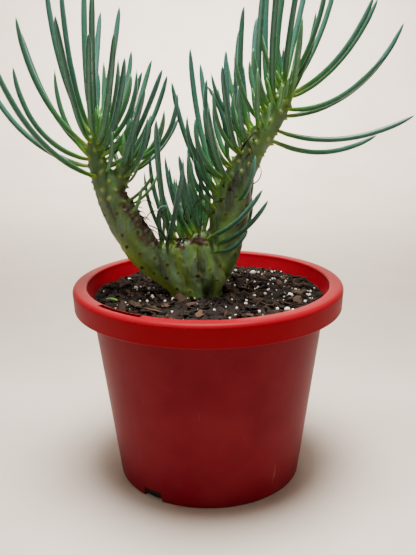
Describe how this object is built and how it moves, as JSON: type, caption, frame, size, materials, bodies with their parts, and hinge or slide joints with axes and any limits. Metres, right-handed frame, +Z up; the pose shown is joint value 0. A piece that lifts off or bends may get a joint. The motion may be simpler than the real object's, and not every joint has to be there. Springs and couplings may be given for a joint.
{
  "type": "potted crested senecio",
  "caption": "Crested blue-green senecio: a flattened forked succulent stem with long upright finger leaves, rooted in potting mix in a round tapered nursery pot that stands on its flat base.",
  "frame": {"origin": "middle of the pot's flat underside, on the pot's axis", "axes": "+Z up along the pot's axis; +X to the right as the fork of the stem is seen face on; -Y towards the viewer"},
  "size_m": [0.3017, 0.2, 0.3752],
  "materials": {
    "pot_plastic": "moulded polypropylene, satin, a little dusty",
    "potting_mix": "composted bark with white perlite, dry and rough",
    "stem_skin": "smooth succulent skin with leaf scars",
    "leaf_skin": "succulent leaf skin with a pale waxy bloom"
  },
  "bodies": {
    "root": {"pot": "pot_plastic", "potting_mix": "potting_mix", "stem": "stem_skin", "left_arm_leaf_01": "leaf_skin", "left_arm_leaf_02": "leaf_skin", "left_arm_leaf_03": "leaf_skin", "left_arm_leaf_04": "leaf_skin", "left_arm_leaf_05": "leaf_skin", "left_arm_leaf_06": "leaf_skin", "left_arm_leaf_07": "leaf_skin", "left_arm_leaf_08": "leaf_skin", "left_arm_leaf_09": "leaf_skin", "left_arm_leaf_10": "leaf_skin", "left_arm_leaf_11": "leaf_skin", "left_arm_leaf_12": "leaf_skin", "left_arm_leaf_13": "leaf_skin", "left_arm_leaf_14": "leaf_skin", "left_arm_leaf_15": "leaf_skin", "left_arm_leaf_16": "leaf_skin", "side_shoot_leaf_01": "leaf_skin", "side_shoot_leaf_02": "leaf_skin", "side_shoot_leaf_03": "leaf_skin", "side_shoot_leaf_04": "leaf_skin", "side_shoot_leaf_05": "leaf_skin", "side_shoot_leaf_06": "leaf_skin", "side_shoot_leaf_07": "leaf_skin", "fold_leaf_01": "leaf_skin", "fold_leaf_02": "leaf_skin", "fold_leaf_03": "leaf_skin", "lobe_leaf_01": "leaf_skin", "lobe_leaf_02": "leaf_skin", "lobe_leaf_03": "leaf_skin", "lobe_leaf_04": "leaf_skin", "right_arm_leaf_01": "leaf_skin", "right_arm_leaf_02": "leaf_skin", "right_arm_leaf_03": "leaf_skin", "right_arm_leaf_04": "leaf_skin", "right_arm_leaf_05": "leaf_skin", "right_arm_leaf_06": "leaf_skin", "right_arm_leaf_07": "leaf_skin", "right_arm_leaf_08": "leaf_skin", "right_arm_leaf_09": "leaf_skin", "right_arm_leaf_10": "leaf_skin", "right_arm_leaf_11": "leaf_skin", "right_arm_leaf_12": "leaf_skin", "right_arm_leaf_13": "leaf_skin", "right_arm_leaf_14": "leaf_skin", "right_arm_leaf_15": "leaf_skin", "right_arm_leaf_16": "leaf_skin", "right_arm_leaf_17": "leaf_skin", "right_arm_leaf_18": "leaf_skin", "right_arm_leaf_19": "leaf_skin", "right_arm_leaf_20": "leaf_skin", "right_arm_leaf_21": "leaf_skin", "right_arm_leaf_22": "leaf_skin", "right_arm_leaf_23": "leaf_skin", "right_arm_leaf_24": "leaf_skin", "right_arm_leaf_25": "leaf_skin", "right_arm_leaf_26": "leaf_skin", "right_arm_leaf_27": "leaf_skin"}
  },
  "joints": []
}
